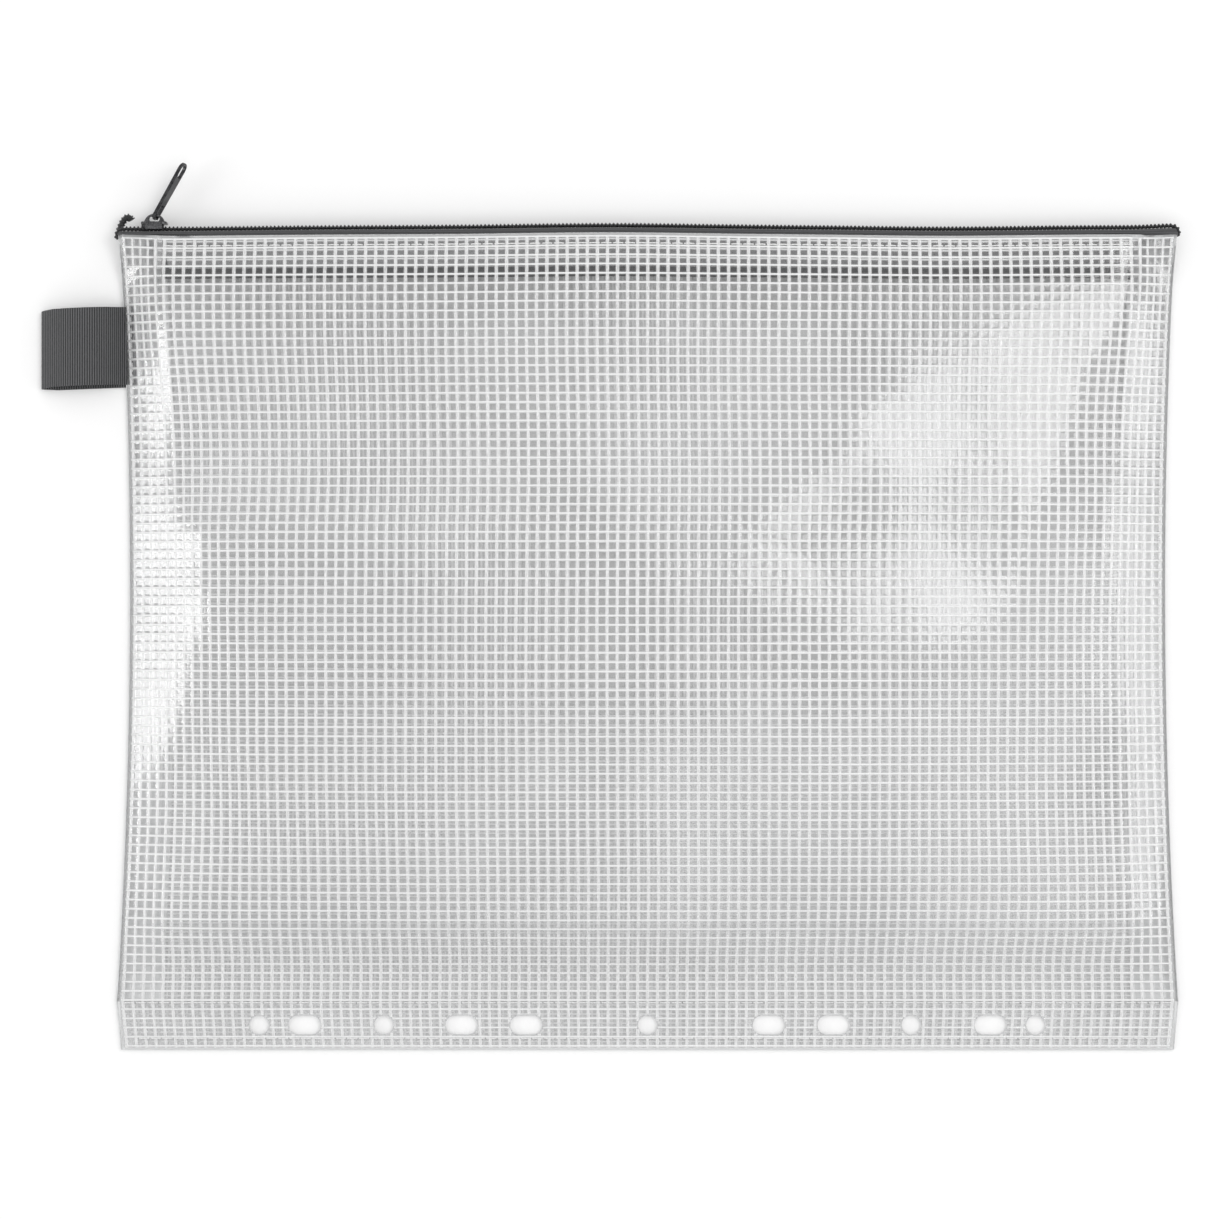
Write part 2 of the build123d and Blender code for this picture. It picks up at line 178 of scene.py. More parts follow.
def relax(spots, turns):  # inner points move towards their neighbours
    for turn in range(turns):
        spots[1:-1] = (spots[:-2] + 2 * spots[1:-1] + spots[2:]) / 4
    return spots


def flatUps(count):
    return np.repeat([upward], count, axis=0)


def hexagon(r):  # section of a wire or thread
    return np.array([(r * mm * math.cos(k * math.pi / 3), r * mm * math.sin(k * math.pi / 3)) for k in range(6)])


def ringFaces(here, there, count, closed=True):  # quads between rings of points that start at these numbers
    around = np.arange(count if closed else count - 1)
    after = (around + 1) % count
    here, there = here[:, None], there[:, None]
    return np.stack((here + around, there + around, there + after, here + after), axis=2).reshape(-1, 4)


def ringsOn(spots, side, up, shape):
    return spots[:, None, :] + side[:, None, :] * shape[None, :, :1] + up[:, None, :] * shape[None, :, 1:]


def tubes(runs, profile, closed=True):  # each run is its points and their up directions
    verts, faces, start = [], [], 0
    shape = np.asarray(profile, float)
    count = len(shape)
    for spots, ups in runs:
        way = heading(spots)
        side = unit(np.cross(way, ups))
        verts.append(ringsOn(spots, side, np.cross(side, way), shape).reshape(-1, 3))
        ring = np.arange(len(spots) - 1) * count + start
        faces.extend(ringFaces(ring, ring + count, count, closed).tolist())
        if closed:
            around = np.arange(count)
            faces.append((start + around).tolist())
            faces.append((start + (len(spots) - 1) * count + around[::-1]).tolist())
        start += len(spots) * count
    return np.concatenate(verts), faces


def joined(verts, faces, moreVerts, moreFaces):
    shifted = [[index + len(verts) for index in face] for face in moreFaces]
    return np.concatenate((verts, moreVerts)), faces + shifted


def newObject(name, data):
    thing = bpy.data.objects.new(name, data)
    bpy.context.scene.collection.objects.link(thing)
    return thing


def settle(piece, material, body="pouch"):
    piece.data.materials.append(material)
    if body:
        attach(piece, body)
    print(piece.name, len(piece.data.polygons), "faces")
    return piece


def newPiece(name, verts, faces, material, body="pouch"):
    mesh = bpy.data.meshes.new(name)
    mesh.from_pydata(np.asarray(verts).tolist(), [], [list(map(int, f)) for f in faces])
    mesh.update()
    mesh.shade_smooth()
    return settle(newObject(name, mesh), material, body)


def pickOnly(piece):
    bpy.ops.object.select_all(action="DESELECT")
    piece.select_set(True)
    bpy.context.view_layer.objects.active = piece


def faceOutward(piece, crease):  # edges sharper than the crease angle stay sharp
    pickOnly(piece)
    bpy.ops.object.mode_set(mode="EDIT")
    bpy.ops.mesh.select_all(action="SELECT")
    bpy.ops.mesh.normals_make_consistent(inside=False)
    bpy.ops.object.mode_set(mode="OBJECT")
    bpy.ops.object.shade_smooth_by_angle(angle=math.radians(crease))


def giveCut(piece, places):  # the cut sheet's own millimetres, for patterns that follow it
    layer = piece.data.uv_layers.new(name="cut")
    corner = np.zeros(len(piece.data.loops), dtype=np.int32)
    piece.data.loops.foreach_get("vertex_index", corner)
    layer.data.foreach_set("uv", np.asarray(places, dtype=np.float32)[corner].ravel())


# pouch sizes in millimetres, as in the solids
pouch = {"fold": 125.6, "bottom": -125.6, "seam": -110.8, "halfTop": 163.0, "halfSeam": 164.0, "halfBottom": 162.6,
         "bow": 3.5, "flatHalf": 164.0, "allowance": 13.5, "hem": 10.2, "hemHalf": 150.0}


def upPanel(y):  # 0 at the strip seam, 1 at the fold
    return (y - pouch["seam"]) / (pouch["fold"] - pouch["seam"])


def halfWidth(y):
    along = upPanel(y)
    body = pouch["halfSeam"] + (pouch["halfTop"] - pouch["halfSeam"]) * along - 4 * pouch["bow"] * along * (1 - along)
    low = (y - pouch["bottom"]) / (pouch["seam"] - pouch["bottom"])
    strip = pouch["halfBottom"] + (pouch["halfSeam"] - pouch["halfBottom"]) * low
    return np.where(np.asarray(y) < pouch["seam"], strip, body)


# the sewn zip wanders off its straight line: height, middle and spread of each swing
wander = {"swings": ((0.62, -12, 38), (-0.45, 92, 32), (-0.5, -152, 40), (0.5, 162, 8)), "from": 40}


def zipWave(x):
    return sum(tall * np.exp(-((np.asarray(x) - middle) / wide) ** 2) for tall, middle, wide in wander["swings"])


def mouthWave(x, y):  # dies out down the panel
    return zipWave(x) * portion(np.asarray(y) - wander["from"], pouch["fold"] - wander["from"]) ** 2


# at the top corners both films rise to the zip's ends (height, reach inward), and the tapes close up
zipEnd = {"front": (6.6, 14), "back": (3.0, 7), "down": 10, "squeeze": 0.35, "squeezeFrom": 152, "squeezeOver": 10}


def cornerLift(x, y, z, top, inward):
    away = ((halfWidth(y) - np.abs(x)) / inward) ** 2 + (np.maximum(pouch["fold"] - y, 0) / zipEnd["down"]) ** 2
    return z + np.maximum(top - z, 0) * np.exp(-away)


# full front: heights are read off the front panel's solid, then softened and given the film's own waves
front = {"columns": 165, "rows": 121, "inset": 0.3, "insetShare": 0.997, "rayTop": 0.1, "halfPly": 0.2, "soften": 14,
         "edge": 1.0, "strip": 1.0, "ease": 24, "easeStart": 0.35, "stiff": 12.5,
         "calmSide": 0.12, "calmSeam": 25, "calmHem": 16, "calmMouth": 30, "drift": 0.6, "driftLength": 61,
         "waves": ((0.7, 118, 0.62, 0.4), (0.5, 84, -0.75, 2.1),  # height, length, slant, start
                   (0.35, 57, 1.15, 4.4), (0.22, 41, 0.2, 1.2)),
         "creases": ((-146, 38, -110, 30, 9, 1.2), (-146, 24, -96, -12, 10, 1.0),  # both ends, width, height
                     (40, 30, 74, 84, 28, 2.8), (-28, 6, -32, -30, 14, 0.9),
                     (100, -60, 142, -104, 9, 0.8), (-146, -70, -108, -104, 8, 0.8))}


def solidHeights(share, ys):
    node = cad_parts["front_panel"]
    skin = BVHTree.FromPolygons([v.co for v in node.data.vertices], [p.vertices for p in node.data.polygons])
    heights = np.zeros((len(ys), len(share)))
    for j, y in enumerate(ys):
        y = np.clip(y, pouch["seam"] + front["inset"], pouch["fold"] - front["inset"])
        for i, s in enumerate(share):
            x = np.clip(s, -front["insetShare"], front["insetShare"]) * halfWidth(y)
            hit = skin.ray_cast(Vector((x * mm, y * mm, front["rayTop"])), Vector((0, 0, -1)))[0]
            heights[j, i] = hit.z / mm if hit else front["edge"]
    return heights - front["halfPly"]  # middle of the film


def readFront():
    share = np.linspace(-1, 1, front["columns"])
    ys = np.linspace(pouch["seam"], pouch["fold"], front["rows"])
    heights = solidHeights(share, ys)
    heights[:, 0] = heights[:, -1] = front["edge"]
    heights[0, :] = front["strip"]
    for turn in range(front["soften"]):
        wide = np.pad(heights, 1, mode="edge")
        soft = (wide[:-2, 1:-1] + wide[2:, 1:-1] + wide[1:-1, :-2] + wide[1:-1, 2:]) / 4
        heights[1:-1, 1:-1] = 0.5 * heights[1:-1, 1:-1] + 0.5 * soft[1:-1, 1:-1]
    ease = portion(ys - pouch["seam"], front["ease"])[:, None]  # lies down into the strip seam
    ease = ease * ease * (3 - 2 * ease) + front["easeStart"] * ease * (1 - ease) ** 2
    heights = front["strip"] + (heights - front["strip"]) * ease
    across = share[None, :] * halfWidth(ys)[:, None]
    inset = (1 - np.abs(share[None, :])) * halfWidth(ys)[:, None]
    for j in range(1, front["rows"]):  # the sewn plies at the sides hold the film in a flat slope
        for half in (slice(0, front["columns"] // 2 + 1), slice(front["columns"] // 2, None)):
            order = np.argsort(inset[j, half])
            top = np.interp(front["stiff"], inset[j, half][order], heights[j, half][order])
            slope = front["edge"] + (top - front["edge"]) * inset[j, half] / front["stiff"]
            heights[j, half] = np.where(inset[j, half] < front["stiff"], slope, heights[j, half])
    up = np.repeat(ys[:, None], front["columns"], axis=1)
    calm = portion(1 - np.abs(share[None, :]), front["calmSide"])
    calm = calm * portion(up - pouch["seam"], front["calmSeam"])
    calm = calm * portion(pouch["fold"] - front["calmHem"] - up, front["calmMouth"])
    for tall, length, slant, start in front["waves"]:
        way = (across * math.cos(slant) + up * math.sin(slant)) * fullTurn / length
        heights += tall * calm * np.sin(way + start + front["drift"] * np.sin(up / front["driftLength"] + start))
    for x0, y0, x1, y1, wide, tall in front["creases"]:
        run = np.array((x1 - x0, y1 - y0), float)
        t = np.clip(((across - x0) * run[0] + (up - y0) * run[1]) / (run @ run), 0, 1)
        off = np.hypot(across - x0 - t * run[0], up - y0 - t * run[1])
        heights += tall * calm * np.exp(-(off / wide) ** 2) * np.sin(np.pi * np.clip(t, 0.02, 0.98))
    flat = np.linspace(-pouch["flatHalf"], pouch["flatHalf"], front["columns"])
    xs, zs = np.zeros((2, *heights.shape))
    for j in range(front["rows"]):  # equal steps along the film, not along the ground
        run = np.concatenate(([0], np.cumsum(np.hypot(np.diff(across[j]), np.diff(heights[j])))))
        run = (run / run[-1] * 2 - 1) * pouch["flatHalf"]
        xs[j] = np.interp(flat, run, across[j])
        zs[j] = np.interp(flat, run, heights[j])
    spots = np.stack((xs, up, zs), axis=2)
    normals = unit(np.cross(np.gradient(spots, axis=1), np.gradient(spots, axis=0)))
    return flat, ys, spots, normals


flatX, flatY, frontSpots, frontNormals = readFront()
print("front read, highest", round(float(frontSpots[:, :, 2].max()), 2), "mm")


def fromGrid(table, u, v):
    fx = np.clip((u - flatX[0]) / (flatX[1] - flatX[0]), 0, len(flatX) - 1.001)  # inside the last cell
    fy = np.clip((v - flatY[0]) / (flatY[1] - flatY[0]), 0, len(flatY) - 1.001)
    i, j = fx.astype(int), fy.astype(int)
    a, b = (fx - i)[:, None], (fy - j)[:, None]
    low = table[j, i] * (1 - a) + table[j, i + 1] * a
    high = table[j + 1, i] * (1 - a) + table[j + 1, i + 1] * a
    return low * (1 - b) + high * b


def onSheet(u, v):  # flat places, how far each is past the fold and the side, and its height up the panel
    u, v = [place.ravel() for place in np.broadcast_arrays(np.asarray(u, float), np.asarray(v, float))]
    hem = np.maximum(v - pouch["fold"], 0)
    turned = np.maximum(np.abs(u) - pouch["flatHalf"], 0)
    return u, v, hem, turned, np.where(hem > 0, pouch["fold"] - hem, v)


# how the front lies: plies under the hem, allowances over the ribbon's sewn end, fold at the zip's ends
frontLay = {"plies": 0.45, "hemBend": 0.6, "lap": 0.45, "under": 0.2, "lapOver": 3,
            "ribbonY": 91, "ribbonHalf": 18, "ribbonFade": 4,
            "rise": 0.8, "sink": -0.1, "endX": 148, "endY": 112, "endOver": 10}


# a flat place (u, v) on the cut sheet, to its place and normal on the sewn pouch
def frontPlace(u, v):
    lay = frontLay
    u, v, hem, turned, inner = onSheet(u, v)
    spot = fromGrid(frontSpots, u, inner)
    normal = fromGrid(frontNormals, u, inner)
    spot = spot - normal * (lay["plies"] * portion(hem, lay["hemBend"]))[:, None]
    side = turned > 0
    spot[side, 0] = np.sign(u[side]) * (halfWidth(inner[side]) - turned[side])
    over = portion(lay["ribbonHalf"] - np.abs(inner[side] - lay["ribbonY"]), lay["ribbonFade"])
    lap = lay["lap"] * over - lay["under"] * (1 - over)
    spot[side, 2] = front["edge"] + lap * portion(turned[side], lay["lapOver"])
    strip = v < pouch["seam"]
    spot[strip, 0] = u[strip] / pouch["flatHalf"] * halfWidth(v[strip])
    spot[strip, 1] = v[strip]
    spot[strip, 2] = front["strip"]
    normal[side | strip] = upward
    spot[:, 2] = cornerLift(*spot.T, *zipEnd["front"])
    ends = portion(np.abs(spot[:, 0]) - lay["endX"], lay["endOver"])
    ends = ends * portion(spot[:, 1] - lay["endY"], lay["endOver"])
    ends = ends * np.where(spot[:, 0] < 0, lay["rise"], lay["sink"])  # up to the tape at the left end
    spot[:, 1] += mouthWave(spot[:, 0], spot[:, 1]) + ends
    return spot * mm, normal


back = {"level": 0.2, "fold": 0.6, "bowX": 1.5, "bowY": -1.3}


def backPlace(u, v):
    u, v, hem, turned, y = onSheet(u, v)
    inside = np.clip(u, -pouch["flatHalf"], pouch["flatHalf"]) / pouch["flatHalf"] * halfWidth(y)
    x = inside - np.sign(u) * turned
    bow = np.sin(math.pi * np.clip(upPanel(y), 0, 1)) * np.maximum(1 - (u / pouch["flatHalf"]) ** 2, 0)
    x, y = x + back["bowX"] * bow, y + back["bowY"] * bow  # lies a little askew of the front
    z = np.where((turned > 0) | (hem > 0), back["fold"], back["level"])
    z = cornerLift(x, y, z, *zipEnd["back"])
    y = y + mouthWave(x, y)
    return np.stack((x, y, z), axis=1) * mm, flatUps(len(u))


# filing holes: middles of the round ones and of the slots, and half length of a slot's straight part
holes = {"y": -118.1, "r": 3.0, "rounds": (0.0, 81.5, 120.0), "slots": (37.5, 57.5, 106.0), "straight": 2.0,
         "cut": 0.3, "arcs": 12}
holeList = sorted({(side * x, 0.0) for x in holes["rounds"] for side in (-1, 1)}
                  | {(side * x, holes["straight"]) for x in holes["slots"] for side in (-1, 1)})


def cutAlongX(y, low, high):  # stretches of a crosswise thread between the holes
    reach = (holes["r"] + holes["cut"]) ** 2 - (y - holes["y"]) ** 2
    pieces, at = [], low
    if reach > 0:
        for x, straight in holeList:
            half = straight + math.sqrt(reach)
            pieces.append((at, x - half))
            at = x + half
    pieces.append((at, high))
    return pieces


def cutAlongY(x, low, high):  # the same for a lengthwise thread
    for middle, straight in holeList:
        off = max(abs(x - middle) - straight, 0)
        reach = (holes["r"] + holes["cut"]) ** 2 - off ** 2
        if reach > 0:
            half = math.sqrt(reach)
            return [(low, holes["y"] - half), (holes["y"] + half, high)]
    return [(low, high)]


def holeLoop(x, straight):
    loop = []
    for side, start in ((1, -90), (-1, 90)):
        for k in range(holes["arcs"] + 1):
            turn = math.radians(start + 180 * k / holes["arcs"])
            loop.append((x + side * straight + holes["r"] * math.cos(turn), holes["y"] + holes["r"] * math.sin(turn)))
    return loop if straight else loop[:-1]


# white scrim threads laid into the film: broad loose warp yarns, narrow tight weft
scrim = {"pitchX": 3.06, "pitchY": 2.83, "warp": (1.05, 0.22), "weft": (0.62, 0.26), "over": 0.09, "margin": 1.2,
         "frontSteps": (62, 46), "backSteps": (28, 26), "allowSteps": (3, 24), "hemSteps": 5,
         "frontShift": (0.0, 0.0), "backShift": (1.1, 1.3), "through": 0.14, "loose": 0.48}
warpOutline = ((-1, 0), (-0.5, 1), (0.5, 1), (1, 0))
weftOutline = ((-1, 0), (-0.7, -1), (0.7, -1), (1, 0), (0.7, 1), (-0.7, 1))


def threadShape(outline, wide, tall):
    return [(x * wide * mm / 2, y * tall * mm / 2) for x, y in outline]


def netRuns(place, steps, shift):
    half, fold, seam = pouch["flatHalf"], pouch["fold"], pouch["seam"]
    allow, hem, bottom, margin = pouch["allowance"], pouch["hem"], pouch["bottom"], scrim["margin"]
    warps, wefts = [], []

    def lifted(u, v, height, turn):
        spots, ups = place(u, v)
        return (spots + ups * height * mm)[::turn], ups[::turn]

    def warp(u, low, high, count, turn=1):
        warps.append(lifted(u, np.linspace(low, high, count), -scrim["over"] / 2, turn))

    def weft(left, right, count, v, turn=1):
        wefts.append(lifted(np.linspace(left, right, count), v, scrim["over"] / 2, turn))

    columns = int((half + allow) / scrim["pitchX"])
    for i in range(-columns, columns + 1):
        u = i * scrim["pitchX"] + shift[0]
        if half < abs(u) + margin < half + 2 * margin or abs(u) > half + allow:
            continue
        if abs(u) > half:  # in the turned-in allowance
            warp(u, seam, fold - margin, scrim["allowSteps"][1])
            continue
        warp(u, seam, fold - margin, steps[1])
        if abs(u) < pouch["hemHalf"]:
            warp(u, fold + margin, fold + hem, scrim["hemSteps"], -1)
        shrink = float(halfWidth(holes["y"])) / half
        for low, high in cutAlongY(u * shrink, bottom + margin / 2, seam):
            warp(u, low, high, 2)
    for j in range(math.ceil(bottom / scrim["pitchY"]), int((fold + hem) / scrim["pitchY"]) + 1):
        v = j * scrim["pitchY"] + shift[1]
        if fold + margin < v < fold + hem:
            weft(-pouch["hemHalf"], pouch["hemHalf"], steps[0], v)
        elif seam < v < fold - margin / 2:
            weft(-half + margin, half - margin, steps[0], v)
            weft(half + margin, half + allow, scrim["allowSteps"][0], v, -1)
            weft(-half - allow, -half - margin, scrim["allowSteps"][0], v, -1)
        elif bottom + margin / 2 < v < seam:
            wide = float(halfWidth(v))
            for left, right in cutAlongX(v, margin - wide, wide - margin):
                weft(left * half / wide, right * half / wide, 2, v)
    return warps, wefts


def threadFinish(name, stretch, dark, light, loose):
    made = Finish(name)
    fibres = made.noise(made.place(scale=stretch), 1.0, detail=4.0, rough=0.65)
    cloud = made.noise(made.place(), 60.0, detail=2.0)
    shade = fibres.bend(0.3, 0.72) * 0.75 + cloud * 0.25
    thread = made.surface(base=made.tint(shade, dark, light), rough=0.5 - 0.2 * fibres, coat=0.5, coatRough=0.12,
                          normal=made.bump(fibres, 0.00006, 0.7))
    glow = made.add("ShaderNodeBsdfTranslucent", {"Color": (0.96, 0.961, 0.962, 1)})
    yarn = made.mix(scrim["through"], thread, glow)
    if loose:  # the floor shows between the filaments
        yarn = made.mix(1 - loose + 0.4 * fibres.bend(0.35, 0.65), made.clear(0.98), yarn)
    return made.close(yarn)


warpFinish = threadFinish("warp_thread", (9000, 420, 3000), (0.9, 0.902, 0.904), (0.97, 0.972, 0.974), scrim["loose"])
weftFinish = threadFinish("weft_thread", (420, 9000, 3000), (0.92, 0.922, 0.924), (0.98, 0.981, 0.982), 0)


def scrimNet(name, place, steps, shift):
    warps, wefts = netRuns(place, steps, shift)
    warpVerts, warpFaces = tubes(warps, threadShape(warpOutline, *scrim["warp"]), closed=False)
    weftVerts, weftFaces = tubes(wefts, threadShape(weftOutline, *scrim["weft"]))
    verts, faces = joined(warpVerts, warpFaces, weftVerts, weftFaces)
    net = newPiece(name, verts, faces, warpFinish)
    net.data.materials.append(weftFinish)
    kinds = np.zeros(len(faces), dtype=np.int32)
    kinds[len(warpFaces):] = 1
    net.data.polygons.foreach_set("material_index", kinds)
    return net


frontScrim = scrimNet("front_scrim", frontPlace, scrim["frontSteps"], scrim["frontShift"])
backScrim = scrimNet("back_scrim", backPlace, scrim["backSteps"], scrim["backShift"])


# clear film between the threads, cloudy where it closes round them; pairs are where a change starts and ends, in mm
# the back film lets less through than the front: partly the film's own light smoke, the rest painted shade for the
# floor under the pouch
film = {"frontClear": 0.95, "backClearWithShade": 0.77, "dark": (0.84, 0.85, 0.86), "light": (0.94, 0.945, 0.95),
        "haze": 0.007, "cloud": 0.03, "scuff": 0.05, "band": 0.13, "bandX": (0.2, 1.05), "bandY": (0.15, 0.95),
        "patch": 0.15, "patchScale": 13.0, "low": 0.7, "lowY": (-120, 10), "mouthY": (92, 112),
        "turned": 0.32, "hem": 0.12, "hemLeft": 0.004, "foldOver": (0.1, 0.7),
        "edge": 0.5, "sideLine": (0.7, 1.8), "foldLine": (0.5, 1.3), "cutLine": (0.3, 1.0),
        "gloss": 0.06, "glance": 0.8, "polish": 0.05, "worn": 0.08, "ridge": 0.0002,
        "stepsX": 137, "stepsY": 99, "hemRows": (0.6, 4, 7), "hemEnd": 1.5, "hemStart": 0.1}


def filmFinish(name, shift, clearness):
    made = Finish(name)
    u, v = made.axes(made.place(uv="cut"))[:2]
    bandX = 1 - (u - shift[0]).beside(scrim["pitchX"]).bend(*film["bandX"])
    bandY = 1 - (v - shift[1]).beside(scrim["pitchY"]).bend(*film["bandY"])
    band = bandX.larger(bandY)
    edge = abs(u) - pouch["flatHalf"]
    fold = v - pouch["fold"]
    margin = (1 - abs(edge).bend(*film["sideLine"])).larger(1 - abs(fold).bend(*film["foldLine"]))
    margin = margin.larger(1 - (v - pouch["bottom"]).bend(*film["cutLine"]))
    cloud = made.noise(made.place(), 45.0)
    scuff = made.noise(made.place(scale=(300, 40, 100)), 1.0, detail=5.0, rough=0.7)
    patch = made.noise(made.place(), film["patchScale"], detail=2.0).bend(0.42, 0.68)
    patch = patch + film["low"] * (1 - v.bend(*film["lowY"]))  # broad milky places, more of them lower down
    patch = patch * (1 - v.bend(*film["mouthY"]))  # and none at the mouth
    haze = film["haze"] + film["cloud"] * cloud + film["scuff"] * scuff.bend(0.62, 0.82) + film["patch"] * patch
    hem = film["hem"] * fold.bend(*film["foldOver"]) * (1 - film["hemLeft"] * u)  # cloudier to the left
    haze = haze + film["turned"] * edge.bend(*film["foldOver"]) + hem
    haze = (haze + film["band"] * band).larger(film["edge"] * margin)
    bump = made.bump(0.2 * band + 1.2 * cloud + 0.1 * scuff, film["ridge"], 0.5)
    milky = made.surface(base=made.tint(cloud, film["dark"], film["light"]), rough=0.4, level=0.2, normal=bump)
    rough = film["polish"] + film["worn"] * scuff
    shine = made.add("ShaderNodeBsdfGlossy", {"Color": (1, 1, 1, 1), "Roughness": rough, "Normal": bump})
    facing = made.add("ShaderNodeLayerWeight", {"Blend": 0.5}, out="Facing")
    sheet = made.mix(haze, made.clear(clearness), milky)
    return made.close(made.mix(film["gloss"] + film["glance"] * facing ** 5, sheet, shine))


frontMesh = filmFinish("front_mesh_film", scrim["frontShift"], film["frontClear"])
# painted shade: the back film is greyer to see through than the front
backMesh = filmFinish("back_mesh_film", scrim["backShift"], film["backClearWithShade"])


def filmSheet(name, place, meshFilm):
    half, fold, allow = pouch["flatHalf"], pouch["fold"], pouch["allowance"]
    us = np.concatenate(([-half - allow, -half - allow / 2], np.linspace(-half, half, film["stepsX"]),
                         [half + allow / 2, half + allow]))
    vs = np.concatenate((np.linspace(pouch["seam"], fold, film["stepsY"]),
                         fold + np.array((*film["hemRows"], pouch["hem"]))))
    bpy.ops.mesh.primitive_grid_add(x_subdivisions=len(us) - 1, y_subdivisions=len(vs) - 1, size=2)
    sheet = bpy.context.object
    sheet.name = sheet.data.name = name
    order = np.zeros(len(sheet.data.vertices) * 3)
    sheet.data.vertices.foreach_get("co", order)
    order = order.reshape(-1, 3)
    u = us[np.rint((order[:, 0] + 1) / 2 * (len(us) - 1)).astype(int)]
    v = vs[np.rint((order[:, 1] + 1) / 2 * (len(vs) - 1)).astype(int)]
    sheet.data.vertices.foreach_set("co", place(u, v)[0].ravel())
    giveCut(sheet, np.stack((u, v), axis=1))
    bpy.ops.object.mode_set(mode="EDIT")
    bpy.ops.mesh.select_all(action="DESELECT")
    bpy.ops.object.mode_set(mode="OBJECT")
    beyond = (np.abs(u) > pouch["hemHalf"] + film["hemEnd"]) & (v > fold + film["hemStart"])
    sheet.data.vertices.foreach_set("select", beyond)  # no hem over the side allowances
    bpy.ops.object.mode_set(mode="EDIT")
    bpy.ops.mesh.delete(type="VERT")
    bpy.ops.object.mode_set(mode="OBJECT")
    sheet.data.shade_smooth()
    sheet.data.update()
    return settle(sheet, meshFilm)


frontFilm = filmSheet("front_film", frontPlace, frontMesh)
backFilm = filmSheet("back_film", backPlace, backMesh)


# film of the filing strip, with the holes punched through
stripCorners = [(-pouch["halfSeam"], pouch["seam"]), (-pouch["halfBottom"], pouch["bottom"]),
                (pouch["halfBottom"], pouch["bottom"]), (pouch["halfSeam"], pouch["seam"])]


def stripSheet(name, level, meshFilm):
    curve = bpy.data.curves.new(name, "CURVE")
    curve.dimensions = "2D"
    curve.fill_mode = "BOTH"
    for loop in [stripCorners[1:] + stripCorners[:1]] + [holeLoop(x, straight) for x, straight in holeList]:
        line = curve.splines.new("POLY")
        line.points.add(len(loop) - 1)
        for point, (x, y) in zip(line.points, loop):
            point.co = (x * mm, y * mm, 0, 1)
        line.use_cyclic_u = True
    pickOnly(newObject(name, curve))
    bpy.ops.object.convert(target="MESH")
    sheet = bpy.context.object
    sheet.location.z = level * mm
    bpy.ops.object.transform_apply()
    spots = np.array([v.co for v in sheet.data.vertices])
    sheet.data.uv_layers.remove(sheet.data.uv_layers[0])  # the conversion's own map
    giveCut(sheet, spots[:, :2] / mm * np.array((pouch["flatHalf"] / pouch["halfSeam"], 1)))
    return settle(sheet, meshFilm)


# the cut and folded edges show as a thin grey line: the rods are the real edges, their grey is painted shade where
# the clear film turns over
edges = {"r": 0.12, "rim": 0.1, "steps": 60, "dark": (0.52, 0.525, 0.53), "light": (0.8, 0.805, 0.81)}


def streakFinish(name, scale, look, rough, spread, deep, strength):  # plastic with fine streaks
    made = Finish(name)
    streak = made.noise(made.place(), scale)
    return made.close(base=made.tint(streak, look["dark"], look["light"]), rough=rough + spread * streak,
                      normal=made.bump(streak, deep, strength))


# painted shade: the grey of the film's edges and hole rims
filmEdge = streakFinish("film_edge", 900.0, edges, 0.15, 0.2, 0.00004, 0.5)


def edgeLines(name, place, level):
    runs = []
    vs = np.linspace(pouch["seam"], pouch["fold"], edges["steps"])
    for u in (-pouch["flatHalf"], pouch["flatHalf"]):
        runs.append((place(u, vs)[0], flatUps(len(vs))))
    for (x0, y0), (x1, y1) in zip(stripCorners, stripCorners[1:]):
        runs.append((np.array(((x0, y0, level), (x1, y1, level))) * mm, flatUps(2)))
    verts, faces = tubes(runs, hexagon(edges["r"]))
    rim = hexagon(edges["rim"])
    for x, straight in holeList:  # rims are closed rings
        loop = np.array([(px, py, level) for px, py in holeLoop(x, straight)]) * mm
        way = unit(np.roll(loop, -1, axis=0) - np.roll(loop, 1, axis=0))
        rings = ringsOn(loop, np.cross(way, upward), flatUps(len(loop)), rim)
        start = np.arange(len(loop)) * len(rim)
        quads = ringFaces(start, np.roll(start, -1), len(rim))
        verts, faces = joined(verts, faces, rings.reshape(-1, 3), quads.tolist())
    return newPiece(name, verts, faces, filmEdge)


frontEdge = edgeLines("front_film_edge", frontPlace, front["strip"])
backEdge = edgeLines("back_film_edge", backPlace, back["level"])
frontStrip = stripSheet("front_strip_film", front["strip"], frontMesh)
backStrip = stripSheet("back_strip_film", back["level"], backMesh)
for piece in (frontFilm, frontStrip, frontScrim, frontEdge):
    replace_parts(piece, "front_panel")
for piece in (backFilm, backStrip, backScrim, backEdge):
    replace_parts(piece, "back_panel")
print("both panels made")


# zip tapes: flat beside the coil, bent into the pouch
zipper = {"z": 5.0, "out": 127.3, "thick": 0.6, "flat": 2.6, "flatMiddle": 0.6, "split": 0.5, "bendY": 125.8,
          "bend": 0.9, "end": 112.9, "half": 163.3, "round": 1.8, "legHalf": 149.2, "flare": 10.0,
          "broad": 1.1, "broadFrom": 128, "broadOver": 26, "broadDeep": 1.5,
          "stepsX": 160, "stepsBend": 6, "stepsLeg": 7, "crease": 50,
          # inside: where along the tape the painted shade of the pouch begins and where it is full
          "warp": 0.55, "pick": 0.42, "inside": (4.5, 6.5),
          "dark": (0.018, 0.018, 0.02), "light": (0.108, 0.109, 0.113)}


